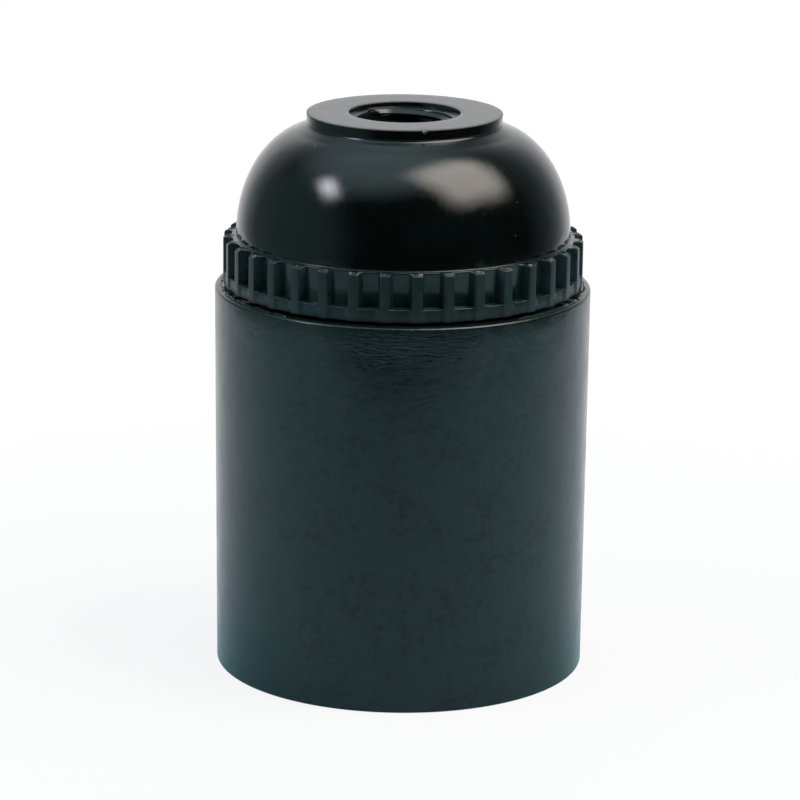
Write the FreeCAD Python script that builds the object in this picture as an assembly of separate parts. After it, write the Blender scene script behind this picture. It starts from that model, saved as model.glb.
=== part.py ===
"""Screw-shell lamp holder of the three-part kind: dome cap, porcelain insert and plain sleeve.

Units are millimetres and degrees.  Z runs up the axis from the sleeve's foot, which the holder stands on; X runs
through the two terminals, with the live one on the +X side.  Radii are worked out from the lamp's thread outwards,
wall by wall and clearance by clearance, and heights from the foot upwards.
"""
import FreeCAD, Part
import math
import os

V = FreeCAD.Vector
Z_AXIS = V(0, 0, 1)
WELD = 1e-4                 # looseness allowed where a swept thread meets its wall

# ---- Lamp thread and its metal shell --------------------------------------------------------------------------
lamp_crest_r = 12.25        # inward crests of the shell, where the lamp's thread runs
lamp_thread_depth = 1.1
lamp_thread_pitch = 3.629   # seven turns to the inch
lamp_thread_turns = 4.5
lamp_ridge_half = 1.5       # half the outer width of one rolled turn
shell_t = 0.35
shell_lip = 1.0             # how far the lower lip flares outwards
shell_lip_h = 0.8
shell_plain_h = 0.5         # plain wall between a rolled turn and the end of the threaded part
shell_crown_h = 5.5         # full-width part over the thread
shell_crown_slope_h = 1.0
shell_corner = 1.2
shell_floor_hole_r = 8.0

# ---- Porcelain insert -----------------------------------------------------------------------------------------
insert_over_shell = 0.25    # the body is wider than the shell that it carries
insert_body_h = 10.0
flange_t = 2.2
flange_set_back = 0.35      # flange inside the root of the sleeve's neck
flange_clear = 0.3          # flange inside the cap's pocket
top_block_h = 1.0
top_block_step = 1.6        # the top block is narrower than the flange
pocket_depth = 3.4          # terminal pockets, from the block's top
pocket_corner = 0.8
contact_boss_h = 1.2        # boss that holds the centre contact clear of the shell's floor
contact_boss_clear = 0.4
insert_edge = 0.4
key_w = 3.0
key_depth = 1.8
key_clear = 0.2
key_drop_clear = 0.5        # the cap's keys end this far above the sleeve's neck

# ---- Sleeve ---------------------------------------------------------------------------------------------------
sleeve_h = 41.4             # foot to shoulder
neck_h = 5.0
neck_bore_clear = 0.45      # round the insert's body
neck_wall = 1.2
neck_edge = 0.3
shoulder_step = 0.87        # the sleeve stands out past the cap's grip ribs
sleeve_draft = 0.2          # the foot is this much smaller in radius than the shoulder
sleeve_edge = 0.35
mouth_wall = 2.6            # wall at the foot
mouth_edge = 0.7
throat_wall = 3.0           # wall at the top of the tapered bore
throat_depth = 36.6         # foot to the top of the tapered bore
throat_slope_h = 1.8

# ---- Thread between sleeve and cap ----------------------------------------------------------------------------
joint_pitch = 2.5
neck_thread_turns = 1.3
cap_thread_turns = 1.2
joint_depth = 0.75
joint_clear = 0.25          # radial, crest to root
joint_base_half = 0.55
joint_crest_half = 0.25
joint_run_in = 0.9          # shoulder to the middle of the first turn

# ---- Dome cap -------------------------------------------------------------------------------------------------
parting_gap = 0.3           # cap's lower edge over the sleeve's shoulder
cap_skirt_wall = 1.4        # between thread root and the floor of the grip windows
cap_mouth_chamfer = 0.4
cap_neck_clear = 0.2        # over the top of the sleeve's neck
cap_flange_clear = 0.15     # over the insert's flange
cap_clamp_w = 1.35          # ledge that holds the flange down
grip_h = 5.1
grip_band_h = 1.4
grip_band_out = 0.95        # band over the window floor
grip_rib_out = 1.13         # ribs over the window floor
grip_rib_count = 36
grip_rib_crest_w = 0.7
grip_rib_root_w = 1.3
grip_rib_turn = 4.4         # degrees from -Y to the first rib
grip_edge = 0.25
dome_step = 0.25            # dome inside the window floor
dome_rise = 11.5            # height of the dome's curve
crown_ledge = 1.0           # flat of the crown that the top face covers, up to its edge
dome_wall = 1.9
face_r = 10.35
face_h = 1.45               # ground face over the crown of the dome
face_fillet = 0.5
face_edge = 0.15
entry_r = 4.46              # crests of the M10 x 1 thread
entry_mouth_r = 5.87
entry_mouth_h = 0.45
entry_len = 6.0
entry_stop_r = 3.8          # lip that stops the pipe short of the terminals
entry_stop_h = 1.0
entry_collar_wall = 3.1
entry_chamfer = 0.3

# ---- Terminals and fasteners ----------------------------------------------------------------------------------
plate_t = 1.0
plate_w = 5.6
plate_inner_x = 2.6
plate_end = 2.8             # terminal screw's centre to the plate's outer end
plate_end_wall = 1.1        # porcelain outside the terminal pockets
plate_corner = 0.6
plate_pocket_clear = 0.35
barrier_half = 1.6          # porcelain between the two terminal pockets
clamp_w = 5.2
clamp_len = 5.8
clamp_t = 0.8
screw_shank_r = 1.75
screw_fit = 0.05            # round the shank in the plates
screw_head_r = 2.7
screw_head_h = 1.9
screw_head_edge = 0.4
screw_slot_w = 0.8
screw_slot_depth = 1.0
screw_len = 5.4             # under the head
screw_tip_taper = 0.5
screw_hole_r = 2.2
screw_hole_over = 2.2       # porcelain hole past the tip
rivet_r = 1.25
rivet_fit = 0.05
rivet_head_r = 1.75
rivet_head_h = 0.75
rivet_head_top_r = 1.2
rivet_margin = 1.9          # rivet centre to the end of a plate's leg
shell_rivet_angle = 57.0    # from the X axis
washer_r = 2.2
washer_t = 0.5

# ---- Centre contact -------------------------------------------------------------------------------------------
contact_rivet_x = 4.5
contact_w = 5.0
contact_t = 0.5
contact_foot_in = 2.8       # rivet centre to the free end of the flat foot
contact_foot_out = 1.9      # rivet centre to the fold
contact_bend_r = 0.85       # middle radius of the fold
contact_slope = 14.0        # the tongue's fall towards the lamp
contact_tongue_len = 8.6
contact_tip_r = 2.0
contact_tip_turn = 40.0

# ---- Radii, from the lamp outwards ----------------------------------------------------------------------------
shell_tube_r = lamp_crest_r + shell_t
shell_out_r = lamp_crest_r + lamp_thread_depth + shell_t
insert_r = shell_out_r + insert_over_shell
neck_bore_r = insert_r + neck_bore_clear
neck_r = neck_bore_r + neck_wall
neck_crest_r = neck_r + joint_depth
cap_root_r = neck_crest_r + joint_clear
window_r = cap_root_r + cap_skirt_wall
band_r = window_r + grip_band_out
rib_r = window_r + grip_rib_out
dome_r = window_r - dome_step
sleeve_r = rib_r + shoulder_step
foot_r = sleeve_r - sleeve_draft
flange_r = neck_r - flange_set_back
pocket_r = flange_r + flange_clear
clamp_ledge_r = pocket_r - cap_clamp_w
top_block_r = flange_r - top_block_step
plate_outer_x = top_block_r - plate_end_wall - plate_pocket_clear
terminal_x = plate_outer_x - plate_end
contact_boss_r = shell_floor_hole_r - contact_boss_clear
collar_r = entry_r + entry_collar_wall
shell_rivet_r = (shell_floor_hole_r + shell_out_r) / 2 - shell_t
shell_rivet_x = shell_rivet_r * math.cos(math.radians(shell_rivet_angle))
shell_rivet_y = shell_rivet_r * math.sin(math.radians(shell_rivet_angle))

# ---- Heights, from the foot upwards ---------------------------------------------------------------------------
neck_top_z = sleeve_h + neck_h
insert_under_z = neck_top_z - insert_body_h
flange_top_z = neck_top_z + flange_t
block_top_z = flange_top_z + top_block_h
pocket_floor_z = block_top_z - pocket_depth
contact_seat_z = insert_under_z - contact_boss_h
plate_top_z = pocket_floor_z + plate_t
clamp_top_z = plate_top_z + clamp_t
screw_tip_z = clamp_top_z - screw_len
shell_floor_z = insert_under_z - shell_t
crown_bottom_z = insert_under_z - shell_crown_h
thread_top_z = crown_bottom_z - shell_plain_h - lamp_ridge_half
thread_bottom_z = thread_top_z - lamp_thread_turns * lamp_thread_pitch
lip_z = thread_bottom_z - lamp_ridge_half - shell_plain_h - shell_lip_h
cap_bottom_z = sleeve_h + parting_gap
dome_base_z = cap_bottom_z + grip_h
band_top_z = cap_bottom_z + grip_band_h
cap_pocket_z = neck_top_z + cap_neck_clear
clamp_ledge_z = flange_top_z + cap_flange_clear
dome_centre_r = face_r - crown_ledge
dome_reach = dome_r - dome_centre_r
dome_centre_z = dome_base_z + grip_edge
dome_top_z = dome_centre_z + dome_rise
face_z = dome_top_z + face_h
mouth_floor_z = face_z - entry_mouth_h
collar_z = mouth_floor_z - entry_len - entry_stop_h
joint_start_z = sleeve_h + joint_run_in


def at(p):
    """The point (radius or x, height) of a section, as a vector in the XZ plane."""
    return V(p[0], 0, p[1])


def line(a, b):
    return Part.makeLine(at(a), at(b))


def polyline(points):
    return [line(a, b) for a, b in zip(points, points[1:])]


def ellipse_arc(centre, reach, rise, start, end):
    """Rising part of an upright ellipse between two angles from the horizontal, with its two end points."""
    ends = [(centre[0] + reach * math.cos(math.radians(t)), centre[1] + rise * math.sin(math.radians(t)))
            for t in (start, end)]
    curve = Part.Ellipse(at((centre[0], centre[1] + rise)), at((centre[0] + reach, centre[1])), at(centre))
    first, last = sorted(curve.parameter(at(p)) for p in ends)
    return Part.ArcOfEllipse(curve, first, last).toShape(), ends[0], ends[1]


def face_of(edges):
    return Part.Face(Part.Wire(Part.__sortEdges__(edges)))


def turned(edges):
    """Solid turned about the Z axis from the edges of a half section."""
    return face_of(edges).revolve(V(0, 0, 0), Z_AXIS, 360)


def turned_polygon(points):
    return turned(polyline(points + points[:1]))


def cylinder(r, z0, z1, x=0, y=0):
    return Part.makeCylinder(r, z1 - z0, V(x, y, z0))


def ring(r_in, r_out, z0, z1):
    return cylinder(r_out, z0, z1).cut(cylinder(r_in, z0 - 1, z1 + 1))


def box(x0, x1, y0, y1, z0, z1):
    return Part.makeBox(x1 - x0, y1 - y0, z1 - z0, V(x0, y0, z0))


def rounded_box(x0, x1, y0, y1, z0, z1, r):
    """A box with its four upright edges rounded."""
    body = box(x0, x1, y0, y1, z0, z1)
    upright = [e for e in body.Edges if abs(e.tangentAt(e.FirstParameter).z) > 0.9]
    return body.makeFillet(r, upright)


def ridge(section, pitch, turns, z, turn=0):
    """Helical ridge swept from a section that is drawn round height 0, starting at height z and angle turn."""
    radius = sum(e.CenterOfMass.x for e in section) / len(section)
    spine = Part.Wire(Part.makeHelix(pitch, turns * pitch, radius))
    solid = spine.makePipeShell([Part.Wire(Part.__sortEdges__(section))], True, True)
    solid.translate(V(0, 0, z))
    solid.rotate(V(0, 0, 0), Z_AXIS, turn)
    return solid


def joint_section(root_r, crest_r):
    """Section of the coarse moulded thread, sunk a little into the wall that carries it."""
    sunk_r = root_r + (root_r - crest_r) * 0.3
    points = [(sunk_r, -joint_base_half), (root_r, -joint_base_half), (crest_r, -joint_crest_half),
              (crest_r, joint_crest_half), (root_r, joint_base_half), (sunk_r, joint_base_half)]
    return polyline(points + points[:1])


def lamp_ridge_section(inset):
    """Section of one rolled turn of the shell, on its outer side or inset by the metal's thickness."""
    foot = shell_tube_r - inset - shell_t * 0.5
    crest = shell_out_r - inset
    half = lamp_ridge_half - inset
    curve = Part.Arc(at((foot, -half)), at((crest, 0)), at((foot, half))).toShape()
    return [curve, line((foot, half), (foot, -half))]


def shell_core(inset):
    """The shell's form without its rolled turns, on its outer side or inset by the metal's thickness."""
    tube, wide, top = shell_tube_r - inset, shell_out_r - inset, insert_under_z - inset
    corner = shell_corner - inset
    low = lip_z - inset
    upright = [(0, top), (0, low), (tube + shell_lip, low), (tube, lip_z + shell_lip_h), (tube, crown_bottom_z),
               (wide, crown_bottom_z + shell_crown_slope_h), (wide, top - corner)]
    bend = Part.Arc(at((wide, top - corner)),
                    at((wide - corner * (1 - math.sqrt(0.5)), top - corner * (1 - math.sqrt(0.5)))),
                    at((wide - corner, top))).toShape()
    return turned(polyline(upright) + [bend, line((wide - corner, top), (0, top))])


def bent_strip(start, heading, moves, thickness, width):
    """Solid strip that follows (length, turn) moves in the XZ plane; a move with a turn is an arc of that radius."""
    left, right = [], []
    x, z = start
    half = thickness / 2

    def beside(px, pz, angle, offset):
        a = math.radians(angle)
        return px - math.sin(a) * offset, pz + math.cos(a) * offset

    first = [beside(x, z, heading, s * half) for s in (1, -1)]
    for length, turn in moves:
        if turn == 0:
            a = math.radians(heading)
            nx, nz = x + length * math.cos(a), z + length * math.sin(a)
            for side, s in ((left, 1), (right, -1)):
                side.append(line(beside(x, z, heading, s * half), beside(nx, nz, heading, s * half)))
            x, z = nx, nz
            continue
        bend = math.copysign(length, turn)
        cx, cz = beside(x, z, heading, bend)
        for side, s in ((left, 1), (right, -1)):
            stops = [at(beside(cx, cz, heading + turn * k, s * half - bend)) for k in (0, 0.5, 1)]
            side.append(Part.Arc(*stops).toShape())
        heading += turn
        x, z = beside(cx, cz, heading, -bend)
    last = [beside(x, z, heading, s * half) for s in (1, -1)]
    section = face_of(left + right + [line(*first), line(*last)])
    section.translate(V(0, -width / 2, 0))
    return section.extrude(V(0, width, 0))


def outer_sleeve():
    """Plain sleeve with its threaded neck."""
    throat_r = sleeve_r - throat_wall
    mouth_r = foot_r - mouth_wall
    e = sleeve_edge
    soft = e * (1 - math.sqrt(0.5))
    body = turned([
        line((mouth_r + mouth_edge, 0), (foot_r - e, 0)),
        Part.Arc(at((foot_r - e, 0)), at((foot_r - soft, soft)), at((foot_r, e))).toShape(),
        line((foot_r, e), (sleeve_r, sleeve_h - e)),
        Part.Arc(at((sleeve_r, sleeve_h - e)), at((sleeve_r - soft, sleeve_h - soft)),
                 at((sleeve_r - e, sleeve_h))).toShape(),
        *polyline([(sleeve_r - e, sleeve_h), (neck_r, sleeve_h), (neck_r, neck_top_z - neck_edge),
                   (neck_r - neck_edge, neck_top_z), (neck_bore_r, neck_top_z),
                   (neck_bore_r, throat_depth + throat_slope_h), (throat_r, throat_depth),
                   (mouth_r, mouth_edge), (mouth_r + mouth_edge, 0)]),
    ])
    thread = ridge(joint_section(neck_r, neck_crest_r), joint_pitch, neck_thread_turns, joint_start_z)
    return body.fuse([thread], WELD)


def grip_ribs():
    """Ring of upright ribs that run down over the band at the cap's lower edge."""
    sunk = window_r - 0.4
    half_root, half_crest = grip_rib_root_w / 2, grip_rib_crest_w / 2
    outline = [V(sunk, -half_root, 0), V(rib_r - grip_edge, -half_root + 0.08, 0), V(rib_r, -half_crest, 0),
               V(rib_r, half_crest, 0), V(rib_r - grip_edge, half_root - 0.08, 0), V(sunk, half_root, 0)]
    rib = Part.Face(Part.makePolygon(outline + outline[:1])).extrude(V(0, 0, grip_h))
    rib.translate(V(0, 0, cap_bottom_z))
    ends = turned_polygon([(sunk - 1, cap_bottom_z), (rib_r - grip_edge, cap_bottom_z),
                           (rib_r, cap_bottom_z + grip_edge), (rib_r, dome_base_z - grip_edge),
                           (rib_r - grip_edge, dome_base_z), (sunk - 1, dome_base_z)])
    rib = rib.common(ends)
    ribs = []
    for i in range(grip_rib_count):
        one = rib.copy()
        one.rotate(V(0, 0, 0), Z_AXIS, -90 + grip_rib_turn + 360.0 / grip_rib_count * i)
        ribs.append(one)
    return ribs


def cap_outside():
    """Dome, ground top face, grip windows and lower band, without the ribs."""
    seam_angle = math.degrees(math.acos((face_r - dome_centre_r) / dome_reach))
    crown, low, high = ellipse_arc((dome_centre_r, dome_centre_z), dome_reach, dome_rise, 0, seam_angle)
    below = [(0, cap_bottom_z), (band_r - grip_edge, cap_bottom_z), (band_r, cap_bottom_z + grip_edge),
             (band_r, band_top_z - grip_edge), (band_r - grip_edge, band_top_z), (window_r, band_top_z),
             (window_r, dome_base_z), (dome_r, dome_base_z), low]
    above = [high, (face_r, face_z - face_edge), (face_r - face_edge, face_z), (0, face_z), (0, cap_bottom_z)]
    body = turned(polyline(below) + [crown] + polyline(above))
    seam = [e for e in body.Edges if isinstance(e.Curve, Part.Circle) and abs(e.Vertexes[0].Z - high[1]) < 1e-3]
    return body.makeFillet(face_fillet, seam)


def cap_inside():
    """The cap's hollow: thread root, flange pocket, wiring chamber and the entry with its collar left standing."""
    reach, rise = dome_reach - dome_wall, dome_rise - dome_wall
    start = math.degrees(math.acos((clamp_ledge_r - dome_centre_r) / reach))
    vault, low, high = ellipse_arc((dome_centre_r, dome_centre_z), reach, rise, start, 90)
    below = [(0, cap_bottom_z - 1), (cap_root_r + cap_mouth_chamfer, cap_bottom_z - 1),
             (cap_root_r + cap_mouth_chamfer, cap_bottom_z), (cap_root_r, cap_bottom_z + cap_mouth_chamfer),
             (cap_root_r, cap_pocket_z), (pocket_r, cap_pocket_z), (pocket_r, clamp_ledge_z),
             (clamp_ledge_r, clamp_ledge_z), low]
    above = [high, (collar_r, high[1]), (collar_r, collar_z + entry_chamfer), (collar_r - entry_chamfer, collar_z),
             (0, collar_z), (0, cap_bottom_z - 1)]
    hollow = turned(polyline(below) + [vault] + polyline(above))
    entry = turned_polygon([(0, collar_z - 1), (entry_stop_r, collar_z - 1), (entry_stop_r, collar_z + entry_stop_h),
                            (entry_r, collar_z + entry_stop_h), (entry_r, mouth_floor_z - entry_chamfer),
                            (entry_r + entry_chamfer, mouth_floor_z), (entry_mouth_r, mouth_floor_z),
                            (entry_mouth_r, face_z + 1), (0, face_z + 1)])
    return hollow.fuse(entry)


def cap_keys():
    """Two ribs in the flange pocket that keep the insert from turning."""
    low = neck_top_z + key_drop_clear
    depth_r = flange_r - key_depth + key_clear
    across = box(-pocket_r - 0.5, pocket_r + 0.5, -key_w / 2, key_w / 2, low, clamp_ledge_z + 0.5)
    across.rotate(V(0, 0, 0), Z_AXIS, 90)
    return across.common(ring(depth_r, pocket_r + 0.3, low, clamp_ledge_z + 0.5))


def dome_cap():
    body = cap_outside().fuse(grip_ribs()).cut(cap_inside())
    thread = ridge(joint_section(cap_root_r, cap_root_r - joint_depth), joint_pitch, cap_thread_turns,
                   joint_start_z + joint_pitch / 4, -90)
    return body.fuse([thread, cap_keys()], WELD)


def flat_plate(x0, x1, width, z0, z1):
    """Flat strip with rounded corners, centred on the X axis."""
    return rounded_box(x0, x1, -width / 2, width / 2, z0, z1, plate_corner)


def leg(x, y, half, z0, z1):
    """Side leg from the X axis out to a rivet at (x, y), with a round end about the rivet."""
    return box(x - half, x + half, 0, y, z0, z1).fuse(cylinder(half, z0, z1, x, y))


def porcelain_insert():
    """Glazed body with its flange, two terminal pockets, barrier and the holes for screws and rivets."""
    e = insert_edge
    body = turned_polygon([(0, insert_under_z), (insert_r - e, insert_under_z), (insert_r, insert_under_z + e),
                           (insert_r, neck_top_z), (flange_r, neck_top_z), (flange_r, flange_top_z),
                           (top_block_r, flange_top_z), (top_block_r, block_top_z - e),
                           (top_block_r - e, block_top_z), (0, block_top_z)])
    boss = cylinder(contact_boss_r, contact_seat_z, insert_under_z + 1)
    c = plate_pocket_clear
    inner = min(barrier_half, plate_inner_x - c)
    live = rounded_box(inner, plate_outer_x + c, -plate_w / 2 - c, plate_w / 2 + c, pocket_floor_z, block_top_z + 1,
                       pocket_corner)
    neutral = live.mirror(V(0, 0, 0), V(1, 0, 0))
    side = leg(-shell_rivet_x, shell_rivet_y, rivet_margin + c, pocket_floor_z, block_top_z + 1)
    plain = cylinder(washer_r + c, pocket_floor_z, block_top_z + 1, shell_rivet_x, -shell_rivet_y)
    drive = cylinder(rivet_r + rivet_fit, contact_seat_z - 1, block_top_z, contact_rivet_x, 0)
    holes = [live, neutral, side, plain, drive]
    for x in (-terminal_x, terminal_x):
        holes.append(cylinder(screw_hole_r, screw_tip_z - screw_hole_over, block_top_z, x, 0))
    for sign in (-1, 1):
        holes.append(cylinder(rivet_r + rivet_fit, insert_under_z - 1, block_top_z, sign * shell_rivet_x,
                              -sign * shell_rivet_y))
    for x in (-flange_r, flange_r):
        notch = box(-key_depth, key_depth, -key_w / 2 - key_clear, key_w / 2 + key_clear, neck_top_z + key_clear,
                    flange_top_z + 1)
        notch.translate(V(x, 0, 0))
        notch.rotate(V(0, 0, 0), Z_AXIS, 90)
        holes.append(notch)
    return body.fuse(boss).cut(holes)


def screw_shell():
    """Drawn shell with its rolled thread, flared lip and pierced floor."""
    outer = shell_core(0).fuse(ridge(lamp_ridge_section(0), lamp_thread_pitch, lamp_thread_turns, thread_bottom_z))
    inner = shell_core(shell_t).fuse(ridge(lamp_ridge_section(shell_t), lamp_thread_pitch, lamp_thread_turns,
                                           thread_bottom_z))
    holes = [cylinder(shell_floor_hole_r, shell_floor_z - 1, insert_under_z + 1)]
    for sign in (-1, 1):
        holes.append(cylinder(rivet_r + rivet_fit, shell_floor_z - 1, insert_under_z + 1, sign * shell_rivet_x,
                              -sign * shell_rivet_y))
    return outer.cut(inner).cut(holes)


def centre_contact():
    """Sprung strip: flat foot under the boss, folded back into a tongue that falls towards the lamp."""
    moves = [(contact_foot_in + contact_foot_out, 0), (contact_bend_r, -(180 - contact_slope)),
             (contact_tongue_len, 0), (contact_tip_r, -contact_tip_turn)]
    start = (contact_rivet_x - contact_foot_in, contact_seat_z - contact_t / 2)
    strip = bent_strip(start, 0, moves, contact_t, contact_w)
    return strip.cut(cylinder(rivet_r + rivet_fit, contact_seat_z - contact_t - 0.2, contact_seat_z + 1,
                              contact_rivet_x, 0))


def terminal_plate(side):
    """Terminal strip in its pocket; the neutral one, on the -X side, has a leg out to its shell rivet."""
    plate = flat_plate(plate_inner_x, plate_outer_x, plate_w, pocket_floor_z, plate_top_z)
    holes = [cylinder(screw_shank_r + screw_fit, pocket_floor_z - 1, plate_top_z + 1, terminal_x, 0)]
    if side > 0:
        holes.append(cylinder(rivet_r + rivet_fit, pocket_floor_z - 1, plate_top_z + 1, contact_rivet_x, 0))
        return plate.cut(holes)
    plate = plate.cut(holes).mirror(V(0, 0, 0), V(1, 0, 0))
    plate = plate.fuse(leg(-shell_rivet_x, shell_rivet_y, rivet_margin, pocket_floor_z, plate_top_z))
    rivet_hole = cylinder(rivet_r + rivet_fit, pocket_floor_z - 1, plate_top_z + 1, -shell_rivet_x, shell_rivet_y)
    screw_hole = cylinder(screw_shank_r + screw_fit, pocket_floor_z - 1, plate_top_z + 1, -terminal_x, 0)
    return plate.cut([rivet_hole, screw_hole]).removeSplitter()


def clamp_plate(side):
    """Pressed saddle that the terminal screw draws down on the wire."""
    half = clamp_len / 2
    body = flat_plate(terminal_x - half, terminal_x + half, clamp_w, plate_top_z, clamp_top_z)
    body = body.cut(cylinder(screw_shank_r + screw_fit, plate_top_z - 1, clamp_top_z + 1, terminal_x, 0))
    return body if side > 0 else body.mirror(V(0, 0, 0), V(1, 0, 0))


def terminal_screw(side):
    """Cheese-head screw with its slot."""
    e, top = screw_head_edge, clamp_top_z + screw_head_h
    body = turned_polygon([(0, screw_tip_z), (screw_shank_r - screw_tip_taper, screw_tip_z),
                           (screw_shank_r, screw_tip_z + screw_tip_taper), (screw_shank_r, clamp_top_z),
                           (screw_head_r, clamp_top_z), (screw_head_r, top - e), (screw_head_r - e, top), (0, top)])
    slot = box(-screw_head_r - 1, screw_head_r + 1, -screw_slot_w / 2, screw_slot_w / 2, top - screw_slot_depth, top + 1)
    slot.rotate(V(0, 0, 0), Z_AXIS, 25 * side)
    body = body.cut(slot)
    body.translate(V(side * terminal_x, 0, 0))
    return body


def rivet(x, y, grip_low, grip_high):
    """Headed rivet through everything between two heights."""
    lower = Part.makeCone(rivet_head_top_r, rivet_head_r, rivet_head_h, V(x, y, grip_low - rivet_head_h))
    upper = Part.makeCone(rivet_head_r, rivet_head_top_r, rivet_head_h, V(x, y, grip_high))
    return cylinder(rivet_r, grip_low, grip_high, x, y).fuse([lower, upper]).removeSplitter()


def rivet_washer():
    low = pocket_floor_z
    return cylinder(washer_r, low, low + washer_t, shell_rivet_x, -shell_rivet_y).cut(
        cylinder(rivet_r + rivet_fit, low - 1, low + washer_t + 1, shell_rivet_x, -shell_rivet_y))


nodes = {
    "dome_cap": dome_cap(),
    "outer_sleeve": outer_sleeve(),
    "porcelain_insert": porcelain_insert(),
    "screw_shell": screw_shell(),
    "centre_contact": centre_contact(),
    "live_terminal_plate": terminal_plate(1),
    "neutral_terminal_plate": terminal_plate(-1),
    "live_clamp_plate": clamp_plate(1),
    "neutral_clamp_plate": clamp_plate(-1),
    "live_terminal_screw": terminal_screw(1),
    "neutral_terminal_screw": terminal_screw(-1),
    "contact_rivet": rivet(contact_rivet_x, 0, contact_seat_z - contact_t, plate_top_z),
    "neutral_shell_rivet": rivet(-shell_rivet_x, shell_rivet_y, shell_floor_z, plate_top_z),
    "plain_shell_rivet": rivet(shell_rivet_x, -shell_rivet_y, shell_floor_z, pocket_floor_z + washer_t),
    "rivet_washer": rivet_washer(),
}

os.makedirs("parts", exist_ok=True)
for name, shape in nodes.items():
    solid = shape.Solids[0]
    print(f"{name}: {len(shape.Solids)} solid, valid {shape.isValid()}, {solid.Volume:.1f} mm3, "
          f"z {shape.BoundBox.ZMin:.2f} to {shape.BoundBox.ZMax:.2f}, x {shape.BoundBox.XMin:.2f} to {shape.BoundBox.XMax:.2f}")
    shape.exportStep(f"parts/{name}.step")
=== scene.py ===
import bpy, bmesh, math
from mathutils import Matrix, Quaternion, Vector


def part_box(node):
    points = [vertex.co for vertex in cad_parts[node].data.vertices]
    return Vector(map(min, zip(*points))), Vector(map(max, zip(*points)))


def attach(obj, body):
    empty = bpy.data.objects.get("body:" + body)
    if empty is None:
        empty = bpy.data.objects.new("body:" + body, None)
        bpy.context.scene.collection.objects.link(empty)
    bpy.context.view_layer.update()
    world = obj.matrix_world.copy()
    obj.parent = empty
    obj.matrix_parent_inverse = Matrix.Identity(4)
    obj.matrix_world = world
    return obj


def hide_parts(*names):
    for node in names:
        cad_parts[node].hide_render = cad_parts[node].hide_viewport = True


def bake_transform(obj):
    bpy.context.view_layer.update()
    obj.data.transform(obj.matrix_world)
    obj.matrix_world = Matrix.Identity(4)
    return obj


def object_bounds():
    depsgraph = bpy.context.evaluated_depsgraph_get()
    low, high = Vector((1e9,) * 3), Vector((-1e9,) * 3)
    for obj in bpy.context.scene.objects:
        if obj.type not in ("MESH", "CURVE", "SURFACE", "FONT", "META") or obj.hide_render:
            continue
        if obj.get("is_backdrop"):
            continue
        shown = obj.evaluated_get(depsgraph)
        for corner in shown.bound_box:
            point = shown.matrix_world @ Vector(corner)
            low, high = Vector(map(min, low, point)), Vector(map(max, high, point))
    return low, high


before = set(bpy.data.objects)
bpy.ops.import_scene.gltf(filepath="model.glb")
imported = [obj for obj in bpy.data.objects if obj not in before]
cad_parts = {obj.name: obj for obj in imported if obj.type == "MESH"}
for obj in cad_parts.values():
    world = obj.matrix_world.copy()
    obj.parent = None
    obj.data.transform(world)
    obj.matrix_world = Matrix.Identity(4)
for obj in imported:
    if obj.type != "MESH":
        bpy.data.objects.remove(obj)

# %% [markdown]
# # A screw-shell lamp holder in black phenolic
# The holder has three main parts: a domed cap with a ribbed grip, a plain sleeve that screws up into it, and
# a porcelain insert between them that carries the terminals and the shell for the lamp. The two mouldings are
# what the eye meets, so they are modelled here with rounded edges and real threads. Of the parts inside, the
# sprung contact is copied and its edges are rounded. The others keep their construction meshes and get
# finishes.

MM = 0.001
size_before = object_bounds()
cap_low, cap_high = (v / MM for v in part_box("dome_cap"))
sleeve_low, sleeve_high = (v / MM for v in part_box("outer_sleeve"))
print("cap", [round(v, 2) for v in (*cap_low, *cap_high)])
print("sleeve", [round(v, 2) for v in (*sleeve_low, *sleeve_high)])

# %% [markdown]
# ## Rings, one after another
# A turned or moulded round part is a chain of rings. A circle is added at the first radius and height, and
# its edge is then extruded, lifted and scaled to each next ring in turn, as one would do by hand with E, G
# and S. That keeps the mesh in clean quads, so faces can be picked out by angle and height afterwards. Every
# ring has one point to the degree.

# %% A chain of rings
COLUMNS = 360
MERGE = 1e-6    # metres


def empty_hands():
    """Leaves edit mode with nothing selected."""
    if bpy.context.object and bpy.context.object.mode != "OBJECT":
        bpy.ops.object.mode_set(mode="OBJECT")
    bpy.ops.object.select_all(action="DESELECT")


def turned(name, rings):
    """A round mesh through (radius, height) rings in millimetres, closed from the last to the first."""
    empty_hands()
    r0, z0 = rings[0]
    bpy.ops.mesh.primitive_circle_add(vertices=COLUMNS, radius=r0 * MM, location=(0, 0, z0 * MM))
    piece = bpy.context.object
    piece.name = piece.data.name = name
    bpy.ops.object.transform_apply(location=True, rotation=True)
    bpy.ops.object.mode_set(mode="EDIT")
    bpy.ops.mesh.select_all(action="SELECT")
    for (r, z), (nr, nz) in zip(rings, rings[1:]):
        bpy.ops.mesh.extrude_edges_move(TRANSFORM_OT_translate={"value": (0, 0, (nz - z) * MM)})
        if abs(nr - r) > 1e-9:
            bpy.ops.transform.resize(value=(nr / r, nr / r, 1), center_override=(0, 0, 0))
    bpy.ops.mesh.select_all(action="SELECT")
    bpy.ops.mesh.remove_doubles(threshold=MERGE)
    bpy.ops.mesh.normals_make_consistent(inside=False)
    bpy.ops.object.mode_set(mode="OBJECT")
    print(name, len(piece.data.vertices), "points after turning")
    return piece


def sweep(centre, reach, start, end, steps, rise=None):
    """Points of a circle, or of an ellipse if a rise is given, between two angles in degrees."""
    rise = reach if rise is None else rise
    angles = [math.radians(start + (end - start) * i / steps) for i in range(steps + 1)]
    return [(centre[0] + reach * math.cos(a), centre[1] + rise * math.sin(a)) for a in angles]


def stretch(a, b, steps):
    """Points in even steps from a up to, but not including, b."""
    return [(a[0] + (b[0] - a[0]) * i / steps, a[1] + (b[1] - a[1]) * i / steps) for i in range(steps)]

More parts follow.
